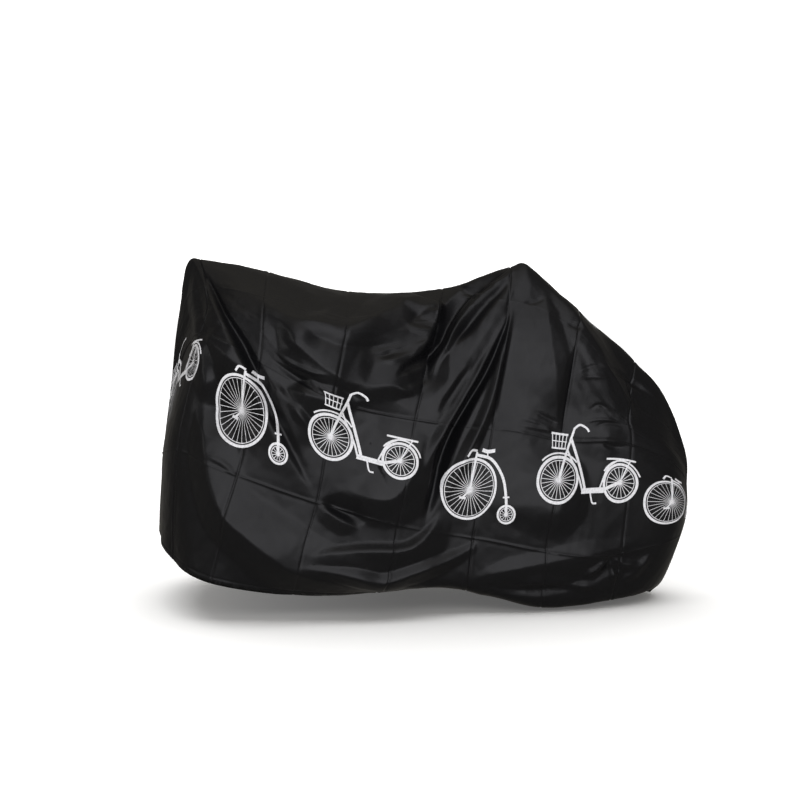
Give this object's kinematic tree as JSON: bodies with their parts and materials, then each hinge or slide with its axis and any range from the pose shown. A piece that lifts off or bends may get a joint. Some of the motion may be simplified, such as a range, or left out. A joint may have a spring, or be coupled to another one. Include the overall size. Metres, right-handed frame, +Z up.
{
  "type": "bicycle cover",
  "caption": "Limp black film cover draped over a bicycle: peaked over handlebar and saddle, sagging between, closed at both ends and open below.",
  "frame": {"origin": "the point under the cloth at the top of the saddle, which carries the cover", "axes": "+X along the bicycle towards its back wheel, +Y across it towards the far side, +Z up"},
  "size_m": [1.6613, 0.6308, 1.0533],
  "materials": {
    "film": "thin black film, satin, with white printed figures"
  },
  "bodies": {
    "root": {"cover": "film"}
  },
  "joints": []
}
